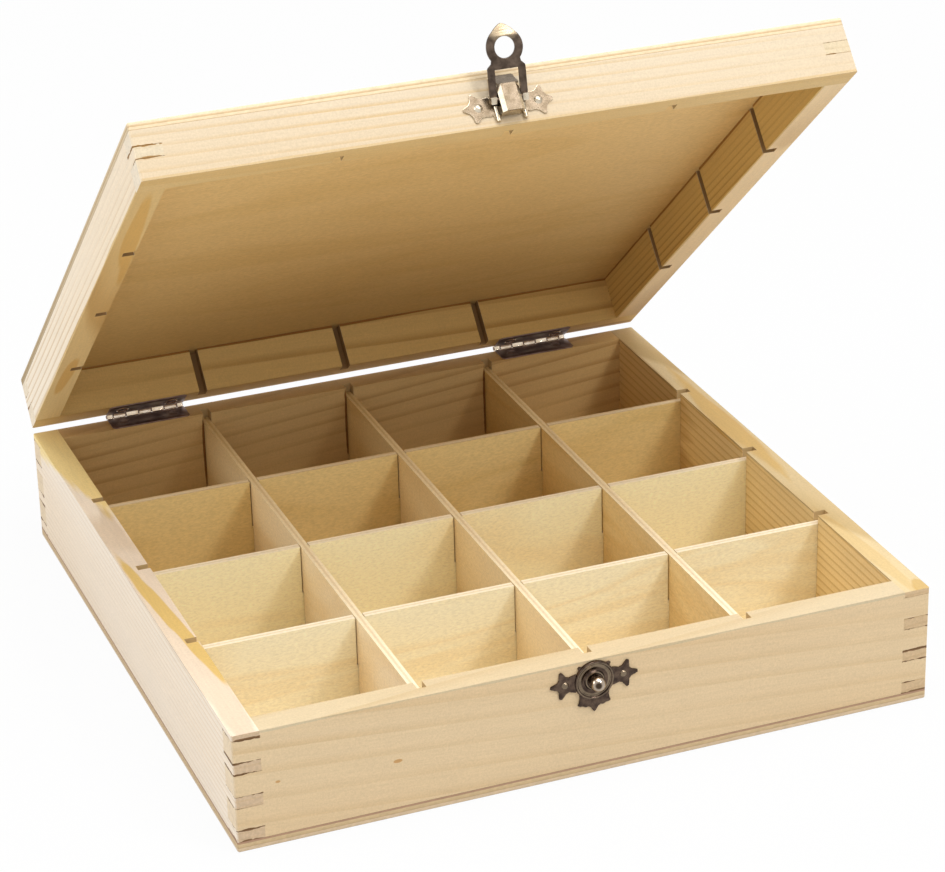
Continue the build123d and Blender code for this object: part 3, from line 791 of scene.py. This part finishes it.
hood = blank(hood_top[::-1] + hood_under[::-1], thickness=HOOD_LONG, ease=0.08)
for face in hood.faces:
    face.normal_update()
    face.material_index = int(abs(face.normal.x) > SLOPING)
end_outline = [(-4, 0.4), (4, 0.4), (4, 4.1), (2.7, 5.3), (-2.7, 5.3), (-4, 4.1)]
hood_end = blank(end_outline, thickness=0.5, ease=0.05)
slope = [(12.9, 4.95), (13.4, 5.5), (18.2, 1.0), (18.1, 0.45), (17.5, 0.45)]
back = blank(slope, thickness=7.9, ease=0.08)
latch_parts = [
    (latch_blank, latch_frame @ at(0, 0, SHEET / 2), None),
    (hood, latch_frame @ at(0, HOOD_MIDDLE) @ across_plate, None),
    # The hood's lower end lies in shade and takes the brighter finish as painted light.
    (hood_end, latch_frame @ at(0, HOOD_FOOT) @ across_plate, 1),
    (back, latch_frame @ along_x, 0),
]
latch_parts += [(lip, latch_frame @ at(side * LIP_X, LIP_Y, SHEET + LIP_LIFT) @ across_plate, 1)
                for side in (-1, 1)]
piece("latch_plate_pressed", latch_parts, "lid", ["latch_plate"],
      [nickel, bright_nickel], 20)
LATCH_HEAD = 1.55
latch_nail_places = [latch_frame @ at(side * STAR_X, WING, SHEET) for side in (-1, 1)]
nail_group("latch_nails_domed", LATCH_HEAD, DOME_RISE, SHORT_NAIL, latch_nail_places, "lid",
           "latch_nails", bright_nickel)

# %% [markdown]
# ## The hasp
# The hasp is a flat blank with a round bar across its foot and a ring that drops over the knob.
# Its tip is bent a little away from the box so that a finger can get behind it. The bend is
# made by cutting the blank across in steps and moving each step further back.

# %% Hasp
RING_Y = 17.7
RING = 6.7
RING_HOLE = 3.75
TIP_REACH = 8.4
BEND = 0.022
tangent = math.degrees(math.acos(RING / TIP_REACH))
ring_side = arc(0, RING_Y, RING, -38, 90 - tangent, 18)
shoulder = [(3.1, RING_Y + 6.3), (1.9, RING_Y + 7.25), (0.8, RING_Y + 7.9), (0, RING_Y + 8.1)]
hasp_side = [(4.4, 0), (7, 0), (7, 10.7), (6.8, 11.2), (5.5, 12.4), *ring_side, *shoulder]
hasp_outline = mirrored(hasp_side) + [(-4.4, 10.3), (4.4, 10.3)]
hasp_blank = blank(hasp_outline, [arc(0, RING_Y, RING_HOLE, 0, 350, 36)], 1.0, 0.18)
bend_start = RING_Y - 1
for step in range(9):
    geometry = hasp_blank.verts[:] + hasp_blank.edges[:] + hasp_blank.faces[:]
    bmesh.ops.bisect_plane(hasp_blank, geom=geometry, plane_co=(0, bend_start + step, 0),
                           plane_no=(0, 1, 0), dist=0.001)
for vertex in hasp_blank.verts:
    past = max(vertex.co.y - bend_start, 0)
    vertex.co.z -= BEND * past ** 2
# The bar is a little thinner than its square feet, so that it stays inside them.
BAR = 1.15
FOOT = 1.25
FOOT_X = 5.85
across_box = Matrix.Rotation(math.pi / 2, 4, "Y")
bar = turned([(0, -6.9), (0.9, -6.9), (BAR, -6.6), (BAR, 6.6), (0.9, 6.9), (0, 6.9)], 28)
foot = blank([(-FOOT, -FOOT), (FOOT, -FOOT), (FOOT, FOOT), (-FOOT, FOOT)], thickness=2.2, ease=0.2)
hasp_parts = [(hasp_blank, hasp_frame, 0), (bar, hasp_frame @ across_box, 0)]
hasp_parts += [(foot, hasp_frame @ at(FOOT_X * side, 0) @ along_x, 1) for side in (-1, 1)]
piece("hasp_stamped", hasp_parts, "hasp", ["hasp"], [hasp_bronze, bright_nickel])

# %% [markdown]
# ## The hinges
# Each hinge has two leaves, cut from sheet and rolled into knuckles round one pin: four on the
# base leaf and three on the lid leaf. The nail holes are sunk so that the lid can close flat.
# A knuckle is a section extruded along the pin, so its gaps and its small round edges are real.
# The knuckles are rubbed bright, and so are the rims of the lid leaf's holes.

# %% Hinge leaves, pins and nails
KNUCKLE = 1.55
KNUCKLE_GAP = 0.55
PIN = 0.75
LEAF = 0.5
LEAF_LIFT = 0.35
HOLE = 2.1
pin_start, pin_end = [corner.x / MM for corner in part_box("right_hinge_pin")]
hinge_x = (pin_start + pin_end) / 2
hinge_half = (pin_end - pin_start) / 2
nail_x = hinge_half - 6
inner = hinge_half - 2.75
ends = [-hinge_half] + [inner * (2 * i / 5 - 1) for i in range(6)] + [hinge_half]
spans = list(zip(ends, ends[1:]))
leaf_outline = [
    (-hinge_half, -1.9), (-hinge_half, -10.4), (-hinge_half + 1.2, -11.6),
    (hinge_half - 1.2, -11.6), (hinge_half, -10.4), (hinge_half, -1.9),
]
leaf_y = -6.3
holes = [arc(side * nail_x, leaf_y, HOLE, 0, 345, 24) for side in (-1, 1)]
leaf_blank = blank(leaf_outline, holes, LEAF, 0.14)
rim_section = [
    (1.95, -0.3), (2.6, -0.3), (2.6, 0.02), (2.45, 0.14), (2.25, 0.1), (1.95, -0.15), (1.95, -0.3),
]
hole_rim = turned(rim_section, 36)
RIM_RAISED = 0.1
RIM_SUNK = -0.22


def knuckle_section(side):
    """Outline of a rolled knuckle and the start of its leaf, side 1 for a leaf above the pin.

    The front of the roll is pressed a little flat, and a seam shows where the sheet ends.
    """
    top, bottom = -0.1, -0.6
    first = 180 + math.degrees(math.asin(-bottom / KNUCKLE))
    rolled = arc(0, 0, KNUCKLE, first, 360 + 120, 26)
    seam_points = [(1.31, 140.9), (1.0, 141.5), (1.0, 164.5), (1.31, 165.1), (KNUCKLE, 184)]
    seam = [arc(0, 0, reach, angle, angle, 2)[0] for reach, angle in seam_points]
    points = [(-2.6, bottom), *rolled, *seam, (-2.6, top)]
    return [(y, -z) for y, z in reversed(points)] if side > 0 else points


def hinge_leaf(name, x, side, body, frame_of, chosen):
    """One leaf with its knuckles, drawn round its pin."""
    pin_place = frame_of @ Matrix.Translation((x * MM, hinge_at.y, hinge_at.z))
    parts = [(leaf_blank, pin_place @ at(0, 0, side * LEAF_LIFT), 0)]
    above = side > 0
    level = RIM_RAISED if above else RIM_SUNK
    for end in (-1, 1):
        rim_place = pin_place @ at(end * nail_x, leaf_y, level) @ turn(math.pi * above)
        parts.append((hole_rim, rim_place, int(above)))
    bore = arc(0, 0, PIN + 0.05, 0, 340, 18)
    for start, end in chosen:
        section = blank(knuckle_section(side), [bore], end - start - KNUCKLE_GAP, 0.08)
        parts.append((section, pin_place @ at((start + end) / 2, 0) @ along_x, 1))
    piece(name + "_rolled", parts, body, [name], [hinge_bronze, worn_steel])


pin_profile = [
    (0, -hinge_half), (0.6, -hinge_half), (PIN, 0.2 - hinge_half), (PIN, hinge_half - 0.2),
    (0.6, hinge_half), (0, hinge_half),
]
for name, x in (("left", -hinge_x), ("right", hinge_x)):
    hinge_leaf(f"{name}_hinge_base_leaf", x, -1, "base", here, spans[::2])
    hinge_leaf(f"{name}_hinge_lid_leaf", x, 1, "lid", lid_turn, spans[1::2])
    pin_place = Matrix.Translation((x * MM, hinge_at.y, hinge_at.z)) @ across_box
    piece(f"{name}_hinge_pin_wire", [(turned(pin_profile, 20), pin_place, 0)], "base",
          [f"{name}_hinge_pin"], [hinge_bronze])

# %% [markdown]
# ## The hinge nails
# Two flat-headed nails hold each leaf. Their heads lie just below the face of the leaf, and the
# lid's nails are the same ones turned over.

# %% Hinge nails
FLAT_HEAD = 1.9
FLAT_RISE = 0.25
LONG_NAIL = 9
HEAD_LEVEL = 0.4
holes_at = [Matrix.Translation(((side * hinge_x + end * nail_x) * MM, hinge_at.y + leaf_y * MM,
                                hinge_at.z)) for side in (-1, 1) for end in (-1, 1)]
base_places = [place @ at(0, 0, -HEAD_LEVEL) for place in holes_at]
lid_places = [lid_turn @ place @ at(0, 0, HEAD_LEVEL) @ turn(math.pi) for place in holes_at]
nail_group("base_hinge_nails_sunk", FLAT_HEAD, FLAT_RISE, LONG_NAIL, base_places, "base",
           "base_hinge_nails", hinge_bronze)
nail_group("lid_hinge_nails_sunk", FLAT_HEAD, FLAT_RISE, LONG_NAIL, lid_places, "lid",
           "lid_hinge_nails", hinge_bronze)

# %% [markdown]
# ## Floor and light
# The box stands on a plain white sweep. The floor shows the camera nearly pure white with a
# faint shadow, and still bounces soft light at the wood. One large soft box hangs over the box,
# a smaller one stands to the front right and draws the slanting shadows in the compartments,
# and one at the left lights the side wall.


# %% Floor and world
def seen_directly(tree):
    """1 for what the camera sees, straight or in a reflection, and 0 for light that spreads."""
    path = add(tree, "LightPath")
    shine = {0: path.outputs["Is Glossy Ray"], 1: path.outputs["Is Transmission Ray"]}
    mirror = add(tree, "Math", shine, operation="MAXIMUM")
    return add(tree, "Math", {0: path.outputs["Is Camera Ray"], 1: mirror}, operation="MAXIMUM")


FLOOR_HALF = 6
CLEAN = 0.95
ROOM = 0.62
floor_shape = bmesh.new()
bmesh.ops.create_grid(floor_shape, x_segments=1, y_segments=1, size=FLOOR_HALF)
floor_mesh = bpy.data.meshes.new("floor")
floor_shape.to_mesh(floor_mesh)
floor_shape.free()
floor = bpy.data.objects.new("floor", floor_mesh)
bpy.context.scene.collection.objects.link(floor)
floor_finish, tree, shader = new_material("white_paper_sweep")
shader.inputs["Base Color"].default_value = linear("#CCCCCC")
shader.inputs["Roughness"].default_value = 0.9
shader.inputs["Specular IOR Level"].default_value = 0.1
bright = add(tree, "Emission", {"Color": (1, 1, 1, 1), "Strength": 1.0})
share = add(tree, "Math", {0: seen_directly(tree), 1: CLEAN}, operation="MULTIPLY")
both = add(tree, "MixShader", {0: share, 1: shader, 2: bright})
add(tree, "OutputMaterial", {"Surface": both}).is_active_output = True
floor_mesh.materials.append(floor_finish)

world = bpy.data.worlds.new("white_room")
bpy.context.scene.world = world
world.use_nodes = True
tree = world.node_tree
tree.nodes.clear()
strength = add(tree, "MapRange", {0: seen_directly(tree), 3: ROOM, 4: 1.0})
room = add(tree, "Background", {"Color": (1, 1, 1, 1), "Strength": strength})
add(tree, "OutputWorld", {"Surface": room})
print("floor", 2 * FLOOR_HALF, "m across, room at", ROOM)


# %% Lamps
LOOK_AT = Vector((0, 0, 0.05))


def lamp(name, place, size, power):
    """A square soft box that looks at the box, its size in metres and its power in watts."""
    data = bpy.data.lights.new(name, "AREA")
    data.size = size
    data.energy = power
    made = bpy.data.objects.new(name, data)
    bpy.context.scene.collection.objects.link(made)
    made.location = place
    made.rotation_euler = (LOOK_AT - Vector(place)).to_track_quat("-Z", "Y").to_euler()
    print(name, "at", place, power, "W")


lamp("overhead_softbox", (0.2, -0.3, 2.2), 1.6, 37)
lamp("front_right_softbox", (0.93, -1.24, 1.6), 0.45, 12.6)
lamp("left_softbox", (-1.7, 0.2, 0.9), 1.0, 9.2)

# %% [markdown]
# ## Camera
# The camera was solved from the box's corners in the photograph: a long lens about a metre in
# front of the box and to its left, looking down at it by 25 degrees.

# %% Camera
FILM_MM = 36
LENS_MM = 122.55
CAMERA_AT = (-0.38789, -1.03803, 0.59018)
CAMERA_TURN_DEG = (65.0717, 1.3363, -21.4701)
camera_data = bpy.data.cameras.new("camera")
camera_data.sensor_width = FILM_MM
camera_data.lens = LENS_MM
camera = bpy.data.objects.new("camera", camera_data)
camera.location = CAMERA_AT
camera.rotation_euler = [math.radians(v) for v in CAMERA_TURN_DEG]
bpy.context.scene.collection.objects.link(camera)
bpy.context.scene.camera = camera
bpy.context.scene.view_settings.view_transform = "Standard"
print("lens", LENS_MM, "mm, camera at", CAMERA_AT)
